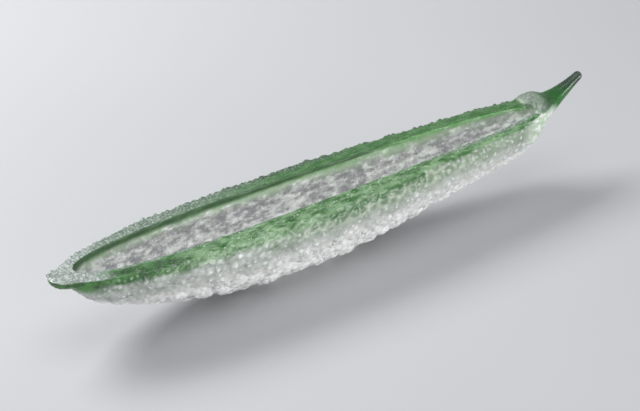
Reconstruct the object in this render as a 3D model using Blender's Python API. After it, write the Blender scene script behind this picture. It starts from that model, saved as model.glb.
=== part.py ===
"""Half a bitter gourd in cast glass: a boat-shaped shell cut level along its length, hollowed where the seeds
were, with the whole neck and stem left on at one end and a small ground flat under the belly to stand on.

Metres, +Z up. +X runs along the gourd towards the stem, the cut face looks up, and the origin is under the
middle of the overall length, on the surface that the gourd stands on.
"""

import math

import bmesh
import bpy

# Driving dimensions
OVERALL_LENGTH = 0.317  # blossom tip to stem end
STEM_LENGTH = 0.024  # neck to stem end
HALF_WIDTH = 0.0260  # fattest section, a little below the cut face
RIM_HEIGHT = 0.040  # cut face above the surface below
FOOT_DEPTH = 0.0010  # ground off the belly to give it a flat to stand on
WIDEST_DROP = 0.012  # the fattest section is widest this far below the cut face
STEM_RADIUS = 0.0026
STEM_RISE = 0.0112  # stem end above its start, on the stem's centre line
HOLLOW_LENGTH = 0.2715
HOLLOW_START = 0.0140  # solid glass between the blossom tip and the hollow
HOLLOW_HALF_WIDTH = 0.0127
HOLLOW_DEPTH = 0.0215
HOLLOW_ABOVE = 0.25  # the hollow bites this share of its half width into the neck above the cut face
HOLLOW_LEAN = 0.0013  # the hollow starts this far to one side of the middle and ends this far to the other
NECK_RISE_RUN = 0.0085  # the cut swings up to the whole neck over this
NECK_RISE_HEIGHT = 0.0075
LUMP_HEIGHT = 0.0006  # slow swellings of the skin

# Mesh density
BODY_RINGS = 64
STEM_RINGS = 12
RING_SIDES = 40
HOLLOW_RINGS = 36
HOLLOW_SIDES = 32
RISE_SEGMENTS = 10

TIP_X = -OVERALL_LENGTH / 2
STEM_END_X = OVERALL_LENGTH / 2
NECK_X = STEM_END_X - STEM_LENGTH
BODY_LENGTH = NECK_X - TIP_X
BODY_DEPTH = RIM_HEIGHT + FOOT_DEPTH
HOLLOW_START_X = TIP_X + HOLLOW_START
HOLLOW_END_X = HOLLOW_START_X + HOLLOW_LENGTH
NECK_RISE_X = HOLLOW_END_X - 0.0045
CLEAR = 0.03  # how far a cutter runs past the glass

# Outlines of the whole gourd: share of the body's length from the blossom tip, then share of the largest size
WIDTH_OUTLINE = (
    (0.00, 0.00),
    (0.03, 0.31),
    (0.08, 0.57),
    (0.15, 0.77),
    (0.25, 0.92),
    (0.37, 1.00),
    (0.48, 1.00),
    (0.60, 0.95),
    (0.72, 0.85),
    (0.84, 0.71),
    (0.92, 0.57),
    (0.97, 0.44),
    (1.00, 0.25),
)
DEPTH_OUTLINE = (
    (0.00, 0.02),
    (0.03, 0.15),
    (0.055, 0.34),
    (0.08, 0.49),
    (0.15, 0.70),
    (0.25, 0.87),
    (0.35, 0.965),
    (0.43, 1.00),
    (0.52, 1.00),
    (0.64, 0.90),
    (0.76, 0.76),
    (0.86, 0.70),
    (0.93, 0.63),
    (0.97, 0.52),
    (1.00, 0.22),
)
# Drop of the widest line below the cut face, share of the largest
DROP_OUTLINE = ((0.0, 0.0), (0.15, 0.45), (0.4, 1.0), (0.7, 0.95), (0.9, 0.45), (1.0, 0.12))
# Outline of the stem: share of its length from the neck, share of the stem's radius
STEM_OUTLINE = (
    (0.00, 0.25 * HALF_WIDTH / STEM_RADIUS),
    (0.15, 2.15),
    (0.40, 1.60),
    (0.65, 1.22),
    (0.85, 1.00),
    (0.94, 0.98),
    (1.00, 0.00),
)


def smooth_between(points, at):
    """The value at a place along an outline: a cubic through its points, with no overshoot."""
    last = len(points) - 1
    span = next((i for i in range(last) if at <= points[i + 1][0]), last - 1)
    (x0, y0), (x1, y1) = points[span], points[span + 1]

    def slope(i):
        if i in (0, last):
            j = min(i, last - 1)
            return (points[j + 1][1] - points[j][1]) / (points[j + 1][0] - points[j][0])
        before = (points[i][1] - points[i - 1][1]) / (points[i][0] - points[i - 1][0])
        after = (points[i + 1][1] - points[i][1]) / (points[i + 1][0] - points[i][0])
        return 0.0 if before * after <= 0 else 2 * before * after / (before + after)

    step = x1 - x0
    u = (at - x0) / step
    return (
        (2 * u**3 - 3 * u**2 + 1) * y0
        + (u**3 - 2 * u**2 + u) * step * slope(span)
        + (3 * u**2 - 2 * u**3) * y1
        + (u**3 - u**2) * step * slope(span + 1)
    )


def rounded_tip(outline, along):
    """An outline's value, with the first stretch rounded off."""
    tip_end, tip_size = outline[1]
    start_size = outline[0][1]
    if along < tip_end:
        return start_size + (tip_size - start_size) * math.sqrt(1 - (1 - along / tip_end) ** 2)
    return smooth_between(outline, along)


def stem_radius(along):
    """Radius of the stem, with its end rounded off."""
    end_start, end_radius = STEM_OUTLINE[-2]
    if along > end_start:
        left = (1 - along) / (1 - end_start)
        return STEM_RADIUS * end_radius * math.sqrt(max(0.0, 1 - (1 - left) ** 2))
    return STEM_RADIUS * smooth_between(STEM_OUTLINE, along)


def lump(x, angle):
    """Slow swellings of the skin, from -1 to 1."""
    across = math.sin(3 * angle + 60 * x)
    return across * math.sin(190 * x + 1.7 * math.sin(2 * angle)) * 0.7 + 0.3 * math.sin(5 * angle - 260 * x)


def body_section(along):
    """Points of one upright section of the whole gourd: deeper below its widest line than above it."""
    x = TIP_X + BODY_LENGTH * along
    half_width = HALF_WIDTH * rounded_tip(WIDTH_OUTLINE, along)
    drop = WIDEST_DROP * smooth_between(DROP_OUTLINE, along)
    below = BODY_DEPTH * rounded_tip(DEPTH_OUTLINE, along) - drop
    above = half_width * 0.95
    fade = min(1.0, half_width / HALF_WIDTH * 1.4) * math.sin(math.pi * along) ** 0.5
    points = []
    for side in range(RING_SIDES):
        angle = 2 * math.pi * side / RING_SIDES
        across, up = math.cos(angle), math.sin(angle)
        swell = LUMP_HEIGHT * fade * (lump(x, angle) - 1) * (1 - max(0.0, -up) ** 6)
        tall = (above if up > 0 else below) + swell
        points.append((x, (half_width + swell) * across, RIM_HEIGHT - drop + tall * up))
    return points


def stem_section(along):
    """Points of one round section of the stem, square to its bent centre line."""
    radius = stem_radius(along)
    start = RIM_HEIGHT - WIDEST_DROP * DROP_OUTLINE[-1][1]
    x = NECK_X + STEM_LENGTH * along
    z = start + STEM_RISE * along**1.25
    tilt = math.atan2(STEM_RISE * 1.25 * along**0.25, STEM_LENGTH)
    points = []
    for side in range(RING_SIDES):
        angle = 2 * math.pi * side / RING_SIDES
        up = radius * math.sin(angle)
        points.append((x - up * math.sin(tilt), radius * math.cos(angle), z + up * math.cos(tilt)))
    return points


def gourd_sections():
    """Sections of the whole gourd and its stem, from the blossom tip to the stem end."""
    body = [body_section((1 - math.cos(math.pi * i / BODY_RINGS)) / 2) for i in range(1, BODY_RINGS + 1)]
    stem = [stem_section(math.sin(math.pi / 2 * i / STEM_RINGS)) for i in range(1, STEM_RINGS)]
    return body + stem


def hollow_sections():
    """Sections of the trough where the seeds were. They run on above the cut face, where there is no glass."""
    sections = []
    for i in range(1, HOLLOW_RINGS):
        along = (1 - math.cos(math.pi * i / HOLLOW_RINGS)) / 2
        x = HOLLOW_START_X + HOLLOW_LENGTH * along
        size = (1 - abs(2 * along - 1) ** 3) ** 0.45
        blossom_side = 1 + 0.16 * math.cos(math.pi * along)
        half_width = HOLLOW_HALF_WIDTH * size * blossom_side
        depth = HOLLOW_DEPTH * size
        middle = HOLLOW_LEAN * (1 - 2 * along)
        points = []
        for side in range(HOLLOW_SIDES):
            angle = 2 * math.pi * side / HOLLOW_SIDES
            across, down = math.cos(angle), math.sin(angle)
            y = middle + half_width * math.copysign(abs(across) ** 0.8, across)
            tall = depth if down < 0 else HOLLOW_ABOVE * half_width
            z = RIM_HEIGHT + math.copysign(abs(down) ** 0.9, down) * tall
            points.append((x, y, z))
        sections.append(points)
    return sections


def loft(name, sections, start, end):
    """A closed skin over a row of sections, drawn to a point at each end."""
    mesh = bmesh.new()
    rings = [[mesh.verts.new(point) for point in section] for section in sections]
    for near, far in zip(rings, rings[1:]):
        for i in range(len(near)):
            j = (i + 1) % len(near)
            mesh.faces.new((near[i], near[j], far[j], far[i]))
    for pole, loop in ((start, rings[0]), (end, rings[-1])):
        point = mesh.verts.new(pole)
        for i in range(len(loop)):
            mesh.faces.new((point, loop[i], loop[(i + 1) % len(loop)]))
    bmesh.ops.recalc_face_normals(mesh, faces=mesh.faces)
    return finish_object(name, mesh)


def prism(name, outline, half_width):
    """An outline in the XZ plane, extruded to both sides of it."""
    mesh = bmesh.new()
    face = mesh.faces.new([mesh.verts.new((x, -half_width, z)) for x, z in outline])
    moved = bmesh.ops.extrude_face_region(mesh, geom=[face])["geom"]
    corners = [item for item in moved if isinstance(item, bmesh.types.BMVert)]
    bmesh.ops.translate(mesh, verts=corners, vec=(0, 2 * half_width, 0))
    bmesh.ops.recalc_face_normals(mesh, faces=mesh.faces)
    return finish_object(name, mesh)


def finish_object(name, mesh):
    data = bpy.data.meshes.new(name)
    mesh.to_mesh(data)
    mesh.free()
    placed = bpy.data.objects.new(name, data)
    bpy.context.scene.collection.objects.link(placed)
    return placed


def cutter_above_rim():
    """What the level cut takes away, swinging up in front of the neck."""
    top = RIM_HEIGHT + CLEAR
    outline = [(TIP_X - 2 * CLEAR, RIM_HEIGHT)]
    for i in range(RISE_SEGMENTS + 1):
        t = i / RISE_SEGMENTS
        outline.append((NECK_RISE_X + NECK_RISE_RUN * t, RIM_HEIGHT + NECK_RISE_HEIGHT * t * t * (3 - 2 * t)))
    outline += [(NECK_RISE_X + NECK_RISE_RUN, top), (TIP_X - 2 * CLEAR, top)]
    return prism("cut_above_rim", outline, HALF_WIDTH + CLEAR)


def cutter_below_foot():
    """What is ground off under the belly, down to the surface that the gourd stands on."""
    outline = ((TIP_X, 0.0), (STEM_END_X, 0.0), (STEM_END_X, -CLEAR), (TIP_X, -CLEAR))
    return prism("cut_below_foot", outline, HALF_WIDTH + CLEAR)


def take_away(body, cutter):
    cutter.hide_render = True
    cutter.display_type = "WIRE"
    cut = body.modifiers.new(cutter.name, "BOOLEAN")
    cut.operation = "DIFFERENCE"
    cut.solver = "EXACT"
    cut.object = cutter


def cast_glass():
    """Milky white glass with a green cast."""
    material = bpy.data.materials.new("cast_glass")
    material.use_nodes = True
    shader = material.node_tree.nodes["Principled BSDF"]
    shader.inputs["Base Color"].default_value = (0.72, 0.80, 0.72, 1)
    shader.inputs["Roughness"].default_value = 0.25
    shader.inputs["Metallic"].default_value = 0.0
    shader.inputs["Transmission Weight"].default_value = 0.5
    return material


for old in list(bpy.data.objects):
    bpy.data.objects.remove(old)

gourd = loft(
    "half_gourd",
    gourd_sections(),
    (TIP_X, 0, RIM_HEIGHT),
    (STEM_END_X, 0, RIM_HEIGHT - WIDEST_DROP * DROP_OUTLINE[-1][1] + STEM_RISE),
)
hollow = loft(
    "hollow",
    hollow_sections(),
    (HOLLOW_START_X, HOLLOW_LEAN, RIM_HEIGHT),
    (HOLLOW_END_X, -HOLLOW_LEAN, RIM_HEIGHT),
)
for cutter in (cutter_above_rim(), hollow, cutter_below_foot()):
    take_away(gourd, cutter)
gourd.data.materials.append(cast_glass())
gourd.data.shade_smooth()
gourd.data.set_sharp_from_angle(angle=math.radians(40))
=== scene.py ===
"""The looks of half a bitter gourd in cast glass: a warty white skin, a cut face that turns from frosted to green,
a dark green line round a pebbly hollow, and a clear stem painted dark with shade."""

import math
import random

import bpy
import numpy as np
from mathutils import Matrix, Vector, noise
from mathutils.bvhtree import BVHTree
from mathutils.kdtree import KDTree


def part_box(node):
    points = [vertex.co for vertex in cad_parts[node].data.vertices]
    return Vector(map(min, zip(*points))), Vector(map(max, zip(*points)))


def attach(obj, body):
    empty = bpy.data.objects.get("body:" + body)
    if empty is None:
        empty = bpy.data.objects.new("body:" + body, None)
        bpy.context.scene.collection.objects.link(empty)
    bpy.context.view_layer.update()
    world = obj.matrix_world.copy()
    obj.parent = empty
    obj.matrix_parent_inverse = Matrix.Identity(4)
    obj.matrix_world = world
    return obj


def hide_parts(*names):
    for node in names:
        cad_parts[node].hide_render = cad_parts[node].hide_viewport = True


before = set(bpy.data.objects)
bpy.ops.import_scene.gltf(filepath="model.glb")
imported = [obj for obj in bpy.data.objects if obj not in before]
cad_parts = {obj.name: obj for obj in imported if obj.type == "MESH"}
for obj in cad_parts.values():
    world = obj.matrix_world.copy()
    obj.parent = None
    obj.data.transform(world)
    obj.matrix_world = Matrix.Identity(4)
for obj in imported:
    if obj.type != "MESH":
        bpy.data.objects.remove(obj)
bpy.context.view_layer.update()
low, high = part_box("half_gourd")
rng = random.Random(5)

MM = 0.001
RIM_Z = 0.040  # cut face
NECK_X = 0.1345  # where the body becomes the stem
HOLLOW_END_X = 0.127
SKIN, CUT, HOLLOW = 0, 1, 2
VOXEL = 0.00078


# ---------------------------------------------------------------- shader maths


class Value:
    """One output socket, so that shader maths can be written as sums."""

    def __init__(self, shader, socket):
        self.shader, self.socket = shader, socket

    def math(self, operation, *others):
        inputs = dict(enumerate((self,) + others))
        return self.shader.node("ShaderNodeMath", {"operation": operation}, inputs)

    def __add__(self, other):
        return self.math("ADD", other)

    def __mul__(self, other):
        return self.math("MULTIPLY", other)

    def __sub__(self, other):
        return self.math("SUBTRACT", other)

    def __truediv__(self, other):
        return self.math("DIVIDE", other)

    def __pow__(self, other):
        return self.math("POWER", other)

    def __rsub__(self, other):
        return (self * -1.0) + other

    __radd__ = __add__
    __rmul__ = __mul__

    def least(self, other):
        return self.math("MINIMUM", other)

    def most(self, other):
        return self.math("MAXIMUM", other)

    def ramp(self, start, end):
        """0 before start and 1 after end, with a smooth turn between them. It falls where end is below start."""
        settings = {"interpolation_type": "SMOOTHSTEP"}
        if end < start:
            return 1.0 - self.ramp(end, start)
        return self.shader.node("ShaderNodeMapRange", settings, {0: self, 1: start, 2: end, 3: 0.0, 4: 1.0})

    def band(self, start, middle, end):
        """A hill that is 1 at the middle."""
        return self.ramp(start, middle) * self.ramp(end, middle)


class Shader:
    """A material's nodes, each made by one call."""

    def __init__(self, name):
        self.material = bpy.data.materials.new(name)
        self.material.use_nodes = True
        self.tree = self.material.node_tree
        self.tree.nodes.clear()
        self.place = self.node("ShaderNodeTexCoord", {}, {}, "Object")

    def node(self, kind, settings, inputs, output=0):
        made = self.tree.nodes.new(kind)
        for name, value in settings.items():
            setattr(made, name, value)
        for name, value in inputs.items():
            if isinstance(value, Value):
                self.tree.links.new(value.socket, made.inputs[name])
            else:
                made.inputs[name].default_value = value
        return Value(self, made.outputs[output])

    def attribute(self, name):
        return self.node("ShaderNodeAttribute", {"attribute_name": name}, {}, "Fac")

    def axis(self, which):
        return self.node("ShaderNodeSeparateXYZ", {}, {0: self.place}, which)

    def cloud(self, size, detail=2.0, rough=0.5, stretch=(1, 1, 1)):
        """Noise from 0 to 1 whose blobs are about size metres across."""
        where = self.node(
            "ShaderNodeMapping", {}, {"Vector": self.place, "Scale": tuple(s / size for s in stretch)}
        )
        return self.node(
            "ShaderNodeTexNoise", {}, {"Vector": where, "Scale": 1.0, "Detail": detail, "Roughness": rough}
        )

    def cells(self, size, feature="F1", output="Distance"):
        """Distance from the middle of random cells about size metres apart, in cells."""
        where = self.node("ShaderNodeMapping", {}, {"Vector": self.place, "Scale": (1 / size,) * 3})
        return self.node("ShaderNodeTexVoronoi", {"feature": feature}, {"Vector": where, "Scale": 1.0}, output)

    def blend(self, factor, first, second):
        return self.node("ShaderNodeMix", {"data_type": "RGBA"}, {0: factor, 6: colour(first), 7: colour(second)}, 2)

    def bump(self, height, distance, strength=1.0, under=None):
        inputs = {"Height": height, "Distance": distance, "Strength": strength}
        if under is not None:
            inputs["Normal"] = under
        return self.node("ShaderNodeBump", {}, inputs)

    def surface(self, **inputs):
        named = {name.replace("_", " "): value for name, value in inputs.items()}
        return self.node("ShaderNodeBsdfPrincipled", {"subsurface_method": "RANDOM_WALK"}, named)

    def finish(self, surface):
        out = self.tree.nodes.new("ShaderNodeOutputMaterial")
        self.tree.links.new(surface.socket, out.inputs["Surface"])
        return self.material


def colour(value):
    return value if isinstance(value, Value) else (*value, 1.0)


def tone(*display):
    """The light that a colour of 0 to 255 in each part sends back."""
    return tuple(c / 255 / 12.92 if c < 11 else ((c / 255 + 0.055) / 1.055) ** 2.4 for c in display)


# ---------------------------------------------------------------- the casting


def deselect_all():
    if bpy.context.object and bpy.context.object.mode != "OBJECT":
        bpy.ops.object.mode_set(mode="OBJECT")
    bpy.ops.object.select_all(action="DESELECT")


def make_active(piece):
    deselect_all()
    piece.select_set(True)
    bpy.context.view_layer.objects.active = piece


def apply_modifier(piece, kind, **settings):
    make_active(piece)
    modifier = piece.modifiers.new(kind.lower(), kind)
    for name, value in settings.items():
        setattr(modifier, name, value)
    bpy.ops.object.modifier_apply(modifier=modifier.name)


def copy_of_solid(name):
    """A merged copy of the solid, which is loose triangles."""
    piece = bpy.data.objects.new(name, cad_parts["half_gourd"].data.copy())
    bpy.context.scene.collection.objects.link(piece)
    piece.data.materials.clear()
    make_active(piece)
    bpy.ops.mesh.customdata_custom_splitnormals_clear()
    bpy.ops.object.mode_set(mode="EDIT")
    bpy.ops.mesh.select_all(action="SELECT")
    bpy.ops.mesh.remove_doubles(threshold=0.000002)
    bpy.ops.mesh.normals_make_consistent(inside=False)
    bpy.ops.object.mode_set(mode="OBJECT")
    return piece


def region_of(face):
    """Which surface of the casting a face of the solid belongs to."""
    middle = face.center
    if face.normal.z > 0.3 and middle.z > RIM_Z - 0.0003 and middle.x < HOLLOW_END_X + 0.002:
        return CUT
    inward = face.normal.dot(middle - Vector((middle.x, 0, RIM_Z + 0.001))) < 0
    return HOLLOW if inward and middle.z < RIM_Z + 0.001 and middle.x < HOLLOW_END_X else SKIN


def points_along(mesh, regions, one, other):
    """Points every half millimetre along the edge where two surfaces meet."""
    sides = {}
    for face in mesh.polygons:
        for key in face.edge_keys:
            sides.setdefault(key, set()).add(regions[face.index])
    points = []
    for (a, b), found in sides.items():
        if found == {one, other}:
            start, end = mesh.vertices[a].co, mesh.vertices[b].co
            steps = max(1, int((end - start).length / (0.5 * MM)))
            points += [start.lerp(end, i / steps) for i in range(steps)]
    return points


def tree_of(points):
    tree = KDTree(len(points))
    for index, point in enumerate(points):
        tree.insert(point, index)
    tree.balance()
    return tree


def vertex_array(piece):
    flat = np.empty(len(piece.data.vertices) * 3)
    piece.data.vertices.foreach_get("co", flat)
    return flat.reshape(-1, 3)


def normal_array(piece):
    flat = np.empty(len(piece.data.vertices) * 3)
    piece.data.vertices.foreach_get("normal", flat)
    return flat.reshape(-1, 3)


def store(piece, name, values):
    attribute = piece.data.attributes.new(name, "FLOAT", "POINT")
    attribute.data.foreach_set("value", np.asarray(values, np.float32))


def smooth(values, start, end):
    t = np.clip((values - start) / (end - start), 0, 1)
    return t * t * (3 - 2 * t)


def scattered(points, spacing):
    """Some of the points, none nearer to another than the spacing asked for where it is."""
    order = list(range(len(points)))
    rng.shuffle(order)
    widest = max(spacing)
    grid, kept = {}, []
    for index in order:
        point, gap = points[index], spacing[index]
        cell = tuple(int(math.floor(c / widest)) for c in point)
        near = (
            other
            for i in (-1, 0, 1)
            for j in (-1, 0, 1)
            for k in (-1, 0, 1)
            for other in grid.get((cell[0] + i, cell[1] + j, cell[2] + k), ())
        )
        if all(math.dist(point, other) > gap for other in near):
            grid.setdefault(cell, []).append(point)
            kept.append(Vector(point))
    return kept


def domes(points, centres, roundness=2.0):
    """Height of packed domes at each point, 1 at a dome's middle and 0 in the crease, and whose dome it is."""
    tree = tree_of(centres)
    heights = np.zeros(len(points))
    owners = np.zeros(len(points), int)
    for i, point in enumerate(points):
        (_, owner, first), (_, _, second) = tree.find_n(point, 2)
        share = 2 * first / (first + second + 1e-9)
        heights[i] = 1 - min(1.0, share) ** roundness
        owners[i] = owner
    return heights, owners


def packed(points, where, gap, roundness=2.0):
    """Domes packed over some of the points, with a random number for each dome."""
    heights, owners = domes(points, scattered(points[where].tolist(), gap[where].tolist()), roundness)
    lots = np.array([rng.random() for _ in range(int(owners.max()) + 1)])
    return heights, lots[owners]


def clouds(points, size, seed, stretch=1.0):
    """Smooth noise from -1 to 1 at each point, drawn out along the gourd by the stretch."""
    offset = Vector((seed * 7.3, seed * 3.1, seed * 1.7))
    scale = np.array((1 / stretch, 1, 1)) / size
    return np.array([noise.noise(Vector(p) + offset) for p in points * scale])


def round_off_neck(piece, points):
    """Rounds the neck where the cut face swings up to it."""
    x, y, z = points.T
    share = smooth(x, 0.112, 0.121) * smooth(x, 0.139, 0.134) * smooth(z, RIM_Z - 0.006, RIM_Z - 0.001)
    share = np.maximum(share, 0.5 * smooth(x, 0.128, 0.136))
    group = piece.vertex_groups.new(name="neck")
    for index in np.flatnonzero(share > 0.01):
        group.add([int(index)], float(share[index]), "REPLACE")
    rounds = int(26 * (0.0006 / VOXEL) ** 2)
    apply_modifier(piece, "SMOOTH", factor=0.6, iterations=rounds, vertex_group="neck")
    piece.vertex_groups.clear()


def casting():
    """The whole piece: the solid's shape with its warts, its crumpled hollow and its beaded edges."""
    piece = copy_of_solid("glass_half_gourd")
    rough = piece.data
    regions = [region_of(face) for face in rough.polygons]
    surface = BVHTree.FromPolygons([v.co for v in rough.vertices], [list(f.vertices) for f in rough.polygons])
    inner_edge = tree_of(points_along(rough, regions, CUT, HOLLOW))
    outer_edge = tree_of(points_along(rough, regions, CUT, SKIN))

    apply_modifier(piece, "REMESH", mode="VOXEL", voxel_size=VOXEL)
    apply_modifier(piece, "SMOOTH", factor=0.5, iterations=3)
    points = vertex_array(piece)
    region = np.array([regions[surface.find_nearest(p)[2]] for p in points])
    to_inner = np.array([inner_edge.find(p)[2] for p in points])
    to_outer = np.array([outer_edge.find(p)[2] for p in points])
    round_off_neck(piece, points)
    points, normals = vertex_array(piece), normal_array(piece)
    x, y, z = points.T
    far = smooth(y, -0.001, 0.003)
    skin_part, cut_part, hollow_part = (region == which for which in (SKIN, CUT, HOLLOW))

    # the skin laps over the near edge of the cut, further towards the stem
    lap = (1 - far) * smooth(x, -0.03, 0.07) * np.minimum(1.8 * MM, 0.42 * (to_inner + to_outer))
    into_hollow = np.where(hollow_part, to_inner, -to_inner)
    down_skin = np.where(skin_part, to_outer, -to_outer) + lap * (1 - hollow_part)
    past_neck = smooth(x + (z - RIM_Z) * 0.6, 0.126, 0.132)

    # warts on the skin, in a mix of sizes, on slow lumps with creases between them
    on_skin = np.flatnonzero((down_skin > -0.5 * MM) & ~hollow_part & (x < NECK_X - 0.002))
    from_ends = np.minimum(smooth(x, low.x, low.x + 0.05), smooth(x, NECK_X, NECK_X - 0.05))
    gap = (2.1 + 1.2 * from_ends) * MM * (1 + 0.55 * clouds(points, 0.0075, 1))
    gap *= 1 + 0.35 * smooth(x, -0.06, -0.03) * smooth(x, 0.08, 0.05) * smooth(down_skin, 0.014, 0.008)
    wart, wart_lot = packed(points, on_skin, gap, 2.6)
    lump, lump_lot = packed(points, on_skin, (9.0 + 3 * clouds(points, 0.03, 2)) * MM, 3.0)
    calm = smooth(x, low.x + 0.008, low.x + 0.030)
    skin = smooth(down_skin, -0.0015, 0.0010) * (1 - past_neck) * (1 - hollow_part) * smooth(z, 0.0001, 0.0012)
    crease = 0.75 + 0.45 * clouds(points, 0.006, 7)
    depth = (1 - wart * (0.55 + 0.45 * wart_lot)) * crease * 1.05 * MM * (0.3 + 0.7 * calm)
    depth += (1 - lump * (0.45 + 0.55 * lump_lot)) * 1.8 * MM * calm * smooth(down_skin, 0.006, 0.020)
    depth += np.maximum(0, clouds(points, 0.0017, 3) + 0.2) * 0.32 * MM
    moved = -depth * skin

    # crumpled glass in the hollow, calm near its edge
    deep = smooth(into_hollow, 0.0005, 0.006)
    in_hollow = np.flatnonzero(hollow_part)
    gap = (4.6 + 2.6 * clouds(points, 0.011, 4)) * MM
    clod, clod_lot = packed(points, in_hollow, gap, 2.2)
    folds = 1 - np.abs(clouds(points, 0.0052, 8, 1.8)) * 2.2
    slow = clouds(points, 0.011, 9, 1.6)
    grit = clouds(points, 0.0016, 5)
    pebble = 0.55 * slow + 0.45 * folds + clod * (clod_lot > 0.72) * 0.9
    moved += deep * (pebble * 1.25 - 0.5 + grit * 0.4) * MM

    # the cut face: grains on the far blossom half, beads along both outer edges, chips on the near side
    blossom = smooth(x, 0.03, -0.05)
    level = cut_part * smooth(z, RIM_Z + 0.0015, RIM_Z + 0.0003)
    level *= smooth(x, NECK_X - 0.008, NECK_X - 0.013)
    on_cut = np.flatnonzero(cut_part | (np.abs(down_skin) < 0.003))
    bead, bead_lot = packed(points, on_cut, np.full(len(points), 1.5 * MM) * (1 + 0.5 * clouds(points, 0.004, 10)))
    edge = smooth(to_outer, 0.0030, 0.0006) * (1 - hollow_part) * smooth(x, NECK_X - 0.010, NECK_X - 0.016)
    grains = level * far * (0.35 + 0.65 * blossom)
    moved += grains * ((bead * (0.3 + 0.7 * bead_lot) - 0.5) * 0.5 * MM)
    knob, knob_lot = packed(points, on_cut, 2.7 * MM * (1 + 0.7 * clouds(points, 0.006, 12)))
    moved += edge * (0.25 + 0.75 * far) * (knob * (0.3 + 0.7 * knob_lot) - 0.55) * 1.25 * MM
    chips = level * (1 - far) * (1 - skin)
    moved += chips * (clouds(points, 0.0026, 11, 1.7) * 0.5 - 0.15) * MM
    moved += level * clouds(points, 0.007, 6) * 0.35 * MM

    points += normals * moved[:, None]
    inside = np.clip(points, np.array(low), np.array(high))
    piece.data.vertices.foreach_set("co", inside.ravel())
    piece.data.update()
    for name, values in (
        ("into_hollow", into_hollow * 1000),
        ("down_skin", down_skin * 1000),
        ("wart", wart * (0.55 + 0.45 * wart_lot)),
        ("wart_lot", wart_lot),
        ("lump", lump),
        ("pebble", pebble + grit * 0.3),
        ("bead", bead * (0.3 + 0.7 * bead_lot)),
        ("past_neck", past_neck),
    ):
        store(piece, name, values)
    piece.data.shade_smooth()
    print("faces", len(piece.data.polygons), "triangles about", 2 * len(piece.data.polygons))
    return piece


# ---------------------------------------------------------------- glass


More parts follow.
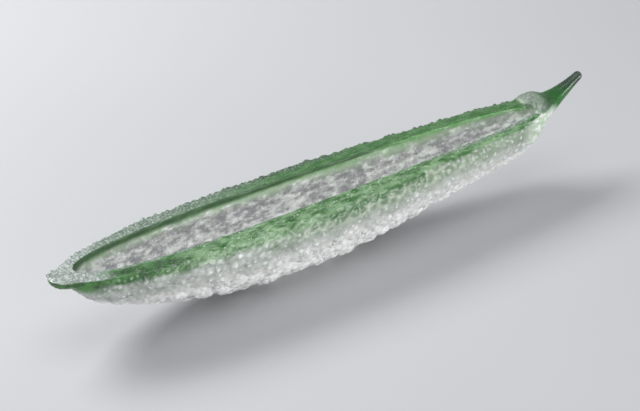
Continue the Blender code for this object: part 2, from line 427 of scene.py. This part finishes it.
def cast_glass():
    """White, green and clear glass fused together, milky where it is full of fine bubbles."""
    s = Shader("cast_glass")
    x, y, z = s.axis("X"), s.axis("Y"), s.axis("Z")
    hollow, down = s.attribute("into_hollow"), s.attribute("down_skin")
    wart, bead, pebble = s.attribute("wart"), s.attribute("bead"), s.attribute("pebble")
    drift = s.cloud(0.016, 3.0)
    patches = s.cloud(0.0065, 3.0, 0.55, (0.55, 1, 1))
    fine = s.cloud(0.0016, 4.0, 0.65)
    streak = s.cloud(0.0024, 4.0, 0.6, (0.4, 1, 1))
    wander = (drift - 0.5) * 2.0

    inside = hollow.ramp(-0.15, 0.25)
    outside = down.ramp(-0.4, 0.4) * (1.0 - inside)
    far = y.ramp(-0.001, 0.003)
    stemward = x.ramp(-0.11, -0.005)
    tip = x.ramp(-0.112, -0.134)

    # hollow, from its edge downwards: a dark green line, pale green, then crumpled grey and white glass with painted
    # shade and painted light on it
    wide = 4.2 - x.ramp(-0.12, 0.05) * 2.4
    line = (hollow + wander * 0.35).ramp(-0.5, 0.4) * ((hollow + wander * 0.4) / wide).ramp(1.25, 0.55)
    line = line * x.ramp(0.060, 0.025) * (0.8 + patches.ramp(0.3, 0.6) * 0.2)
    # white clods, partly white glass that varies at random and partly painted light on the high parts of the crumpled
    # glass; between them purplish-grey painted shade
    white_clods_and_painted_light = (pebble * 0.6 + (streak - 0.5) * 3.6 + (patches - 0.5) * 1.2).ramp(-0.2, 1.15)
    painted_lilac_shade = s.blend((streak * 0.6 + fine * 0.4).ramp(0.42, 0.6), tone(152, 151, 154), tone(200, 201, 200))
    floor = s.blend(white_clods_and_painted_light, painted_lilac_shade, tone(228, 230, 226))
    # painted dark specks of shade and painted white specks of sparkle in the crumpled glass
    floor = s.blend((fine * 0.5 + streak * 0.5).ramp(0.43, 0.33) * 0.5, floor, tone(96, 96, 98))
    floor = s.blend((fine * 0.5 + streak * 0.5).ramp(0.56, 0.64) * 0.8, floor, tone(255, 255, 255))
    mottle = (streak - 0.5) * 6.0 + (patches - 0.5) * 7.0
    upper_wall = s.blend((hollow + wander + mottle * 0.5).ramp(0.5, 4.5), tone(86, 150, 72), tone(162, 184, 154))
    upper_wall = s.blend((fine * 0.5 + streak * 0.5).ramp(0.52, 0.64) * 0.5, upper_wall, tone(214, 222, 210))
    wall = s.blend((hollow + wander * 1.2 + mottle).ramp(3.0, 8.5), upper_wall, floor)
    wall = s.blend(x.ramp(0.06, 0.1) * hollow.ramp(1.0, 4.0) * 0.6, wall, floor)

    # far side of the cut: frosted grains towards the tip, green towards the stem, clear beads on its edge
    grain = (fine * 0.7 + bead * 0.5).ramp(0.28, 0.78)
    frosted = s.blend(grain, tone(98, 117, 100), tone(174, 188, 175))
    frosted = s.blend(x.ramp(-0.12, -0.14), frosted, s.blend(grain, tone(126, 138, 129), tone(204, 212, 207)))
    bottle = s.blend(grain, tone(36, 66, 38), tone(124, 150, 124))
    leaf = s.blend(streak.ramp(0.35, 0.65), tone(56, 108, 50), tone(92, 136, 84))
    rim_middle = s.blend(down.ramp(-3.0, -5.0), bottle, leaf)
    rim_right = s.blend(down.ramp(-0.6, -2.6), s.blend(grain, tone(48, 80, 46), tone(120, 146, 116)), leaf)
    far_cut = s.blend(stemward, frosted, s.blend(x.ramp(0.0, 0.03), rim_middle, rim_right))

    # near side of the cut: a frosted strip along the hollow, then green glass full of painted glints
    strip_end = 1.9 - x.ramp(-0.13, 0.0) * 1.3 + x.ramp(0.035, 0.08) * 1.7
    deep_green = s.blend(patches.ramp(0.35, 0.65), tone(8, 66, 4), tone(66, 124, 54))
    strip = (-1.0 * hollow - strip_end + wander * 0.4).ramp(0.5, -0.5)
    murk = s.blend((streak * 0.55 + patches * 0.45).ramp(0.38, 0.62), tone(38, 98, 28), tone(138, 174, 130))
    # painted glints: small white specks put into the colour of the green
    glint = s.cloud(0.0011, 2.0, 0.5, (0.6, 1, 1)).ramp(0.62, 0.68)
    murk = s.blend(glint * 0.8, murk, tone(206, 228, 204))
    murk = s.blend(x.ramp(-0.085, -0.112) * 0.85, murk, deep_green)
    near_cut = s.blend(strip, murk, s.blend(grain, tone(100, 120, 102), tone(168, 184, 170)))
    near_cut = s.blend(x.ramp(-0.128, -0.142), near_cut, frosted)
    cut = s.blend(far, near_cut, far_cut)

    # skin, from the cut face downwards: green, a honeycomb of painted lens shading, then white with painted shade in
    # its creases, painted highlights on its warts and a painted glow that makes it whiter towards the bottom
    fall = down + wander * 1.6 + (patches - 0.5) * 5.0
    crease = (wart + (fine - 0.5) * 0.5).ramp(0.5, 0.1)
    # painted lens shading: pale rims and dark green centres on the warts, as if dark surroundings showed through each
    # wart
    painted_lens_ring = s.blend((wart + (fine - 0.5) * 0.5).ramp(0.15, 0.75), tone(160, 172, 152), tone(82, 116, 74))
    painted_ring_zone = x.ramp(-0.065, -0.02) * x.ramp(0.10, 0.05) * fall.ramp(2.0, 4.5) * fall.ramp(14.0, 8.0)
    milky = s.blend(patches.ramp(0.35, 0.65), tone(150, 158, 149), tone(190, 194, 189))
    # painted glow: the skin is painted whiter towards the bottom, standing in for light coming through the glass
    milky = s.blend((down + wander).ramp(9.0, 27.0), milky, tone(234, 234, 232))
    dusk = fall.ramp(12.0, 6.0) * x.ramp(-0.08, -0.02)
    milky = s.blend(dusk * 0.8, milky, tone(128, 148, 122))
    # painted shade: the valleys between the warts are darkened
    milky = s.blend(crease * (0.08 + patches.ramp(0.5, 0.7) * 0.6), milky, tone(122, 126, 122))
    # painted shade: thin wriggly dark lines standing in for shaded bits of crease
    painted_crease_lines = (s.cloud(0.0034, 3.0, 0.55) - 0.5).math("ABSOLUTE").ramp(0.035, 0.005) * s.cloud(0.011, 2.0).ramp(0.46, 0.58)
    milky = s.blend(painted_crease_lines * 0.55, milky, tone(104, 110, 104))
    # painted highlights: white specks on the tops of the warts
    milky = s.blend((fine * 0.6 + wart * 0.4).ramp(0.59, 0.68) * 0.65, milky, tone(250, 250, 248))
    skin = s.blend(painted_ring_zone * (0.35 + patches.ramp(0.35, 0.6) * 0.55), milky, painted_lens_ring)
    edge_green = s.blend(patches.ramp(0.35, 0.6), tone(60, 110, 50), tone(130, 164, 122))
    edge_green = s.blend(x.ramp(-0.085, -0.112), edge_green, deep_green)
    reach = 5.6 - x.ramp(-0.02, 0.08) * 3.0 + tip * -0.5
    skin = s.blend((fall / reach).ramp(1.3, 0.45), skin, edge_green)
    dark = s.cloud(0.009, 2.0, 0.5, (0.5, 1, 1)).ramp(0.5, 0.6) * (fall / reach).band(0.1, 0.8, 1.7)
    skin = s.blend(dark * x.ramp(0.09, 0.04) * 0.9, skin, tone(26, 92, 16))
    under_tip = (x + z * 0.55).ramp(-0.112, -0.126)
    skin = s.blend(under_tip * down.ramp(11.0, 5.0), skin, deep_green)
    skin = s.blend(x.ramp(0.108, 0.122), skin, s.blend(streak.ramp(0.4, 0.6), tone(176, 196, 172), tone(228, 233, 226)))

    shade = s.blend(inside, cut, wall)
    shade = s.blend(outside, shade, skin)
    shade = s.blend(line * (1.0 - outside), shade, tone(14, 72, 8))

    # the clear rounded neck and the clear stem with its green root; the stem is painted dark as shade seen through it,
    # lighter at its end
    dome = (x + (z - RIM_Z) * 1.2 + (patches - 0.5) * 0.014 + (fine - 0.5) * 0.004).ramp(0.1215, 0.1275)
    dome = dome * z.ramp(RIM_Z - 0.0005, RIM_Z + 0.0015)
    clear_grey = s.blend(x.ramp(0.133, 0.124), tone(58, 86, 58), tone(118, 134, 119))
    clear_grey = s.blend(patches.ramp(0.42, 0.6) * x.ramp(0.134, 0.126) * 0.6, clear_grey, tone(84, 122, 82))
    clear_grey = s.blend(streak.ramp(0.5, 0.64) * x.ramp(0.132, 0.124) * 0.6, clear_grey, tone(176, 190, 178))
    shade = s.blend(dome, shade, clear_grey)
    stem = (x + (z - RIM_Z) * 0.55).ramp(0.132, 0.140)
    low_side = (z - (x - NECK_X) * 0.45).ramp(0.0415, 0.037)
    root = (x.ramp(0.150, 0.139) * 0.6 + low_side * x.ramp(0.158, 0.145)).least(1.0)
    # painted shade: the clear stem is painted dark grey-green, as if dark surroundings showed through it, and lighter
    # at its end
    painted_dark_stem = s.blend(x.ramp(0.1545, 0.158), tone(42, 62, 46), tone(92, 106, 94))
    shade = s.blend(stem, shade, s.blend(root, painted_dark_stem, tone(14, 112, 4)))

    height = s.bump((fine + dome * (streak - 0.5)) * (1.0 - stem), 0.0007, 0.55)
    gloss = 0.24 + fine * 0.2 - (1.0 - inside) * (1.0 - outside) * 0.08 - stem * 0.06 + dome * (1.0 - stem) * 0.25
    milk = s.surface(
        Base_Color=shade,
        Roughness=gloss,
        Normal=height,
        Subsurface_Weight=0.3,
        Subsurface_Radius=(1.0, 1.0, 0.95),
        Subsurface_Scale=0.0014,
        IOR=1.5,
        Coat_Weight=0.35 - dome * (1.0 - stem) * 0.33,
        # painted glow: the hollow gives off its own colour as light, standing in for light carried in through the glass
        Emission_Color=s.blend(hollow.ramp(0.5, 5.0), (0.0, 0.0, 0.0), shade),
        Emission_Strength=0.22,
        Coat_Roughness=0.12,
    )
    clear = s.surface(
        Base_Color=s.blend(0.25, shade, (1.0, 1.0, 1.0)),
        Roughness=gloss * 0.5,
        Normal=height,
        Transmission_Weight=1.0,
        IOR=1.5,
    )
    clearness = 0.06 + (1.0 - inside) * (1.0 - outside) * 0.12 + stem * 0.2
    return s.finish(s.node("ShaderNodeMixShader", {}, {0: clearness.least(0.6), 1: milk, 2: clear}))


# ---------------------------------------------------------------- floor, light, camera


def pale_floor():
    bpy.ops.mesh.primitive_plane_add(size=6)
    floor = bpy.context.object
    floor.name = "floor"
    s = Shader("pale_floor")
    pale = s.blend(s.cloud(0.3, 3.0), tone(182, 183, 185), tone(188, 189, 190))
    floor.data.materials.append(s.finish(s.surface(Base_Color=pale, Roughness=0.75)))


def soft_box(name, place, target, size, power, tint=(1, 1, 1)):
    data = bpy.data.lights.new(name, "AREA")
    data.shape, data.size, data.size_y = "RECTANGLE", size[0], size[1]
    data.energy, data.color = power, tint
    lamp = bpy.data.objects.new(name, data)
    bpy.context.scene.collection.objects.link(lamp)
    lamp.location = place
    lamp.rotation_euler = (Vector(target) - Vector(place)).to_track_quat("-Z", "Y").to_euler()


def studio_light():
    world = bpy.data.worlds.new("studio")
    world.use_nodes = True
    world.node_tree.nodes["Background"].inputs["Color"].default_value = (0.9, 0.93, 1.0, 1)
    world.node_tree.nodes["Background"].inputs["Strength"].default_value = 0.38
    bpy.context.scene.world = world
    soft_box("back_softbox", (-0.30, 0.65, 0.70), (0, 0, 0.02), (0.7, 0.4), 10)
    soft_box("front_softbox", (0.25, -0.9, 0.14), (0, 0, 0.01), (1.1, 0.25), 7.5)
    soft_box("top_softbox", (-0.1, -0.1, 1.1), (0, 0, 0), (0.9, 0.9), 3.5)


def photo_camera(azimuth=-38.1, elevation=31.0, distance=1.2, roll=1.84, lens=140.3):
    """Looks down along the gourd from its blossom end, with the stem far off to the right."""
    a, e, r = (math.radians(v) for v in (azimuth, elevation, roll))
    ahead = Vector((-math.sin(a) * math.cos(e), math.cos(a) * math.cos(e), -math.sin(e)))
    right = Vector((math.cos(a), math.sin(a), 0))
    up = right.cross(ahead)
    right, up = right * math.cos(r) + up * math.sin(r), up * math.cos(r) - right * math.sin(r)
    target = Vector((0, 0, 0.02)) - right * 0.0055 + up * 0.0041
    data = bpy.data.cameras.new("camera")
    data.lens, data.sensor_width = lens, 36
    camera = bpy.data.objects.new("camera", data)
    bpy.context.scene.collection.objects.link(camera)
    turn = Matrix((right, up, -ahead)).transposed().to_4x4()
    camera.matrix_world = Matrix.Translation(target - ahead * distance) @ turn
    bpy.context.scene.camera = camera


gourd = casting()
gourd.data.materials.append(cast_glass())
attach(gourd, "root")
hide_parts("half_gourd")
pale_floor()
studio_light()
bpy.context.scene.view_settings.view_transform = "Standard"
photo_camera()
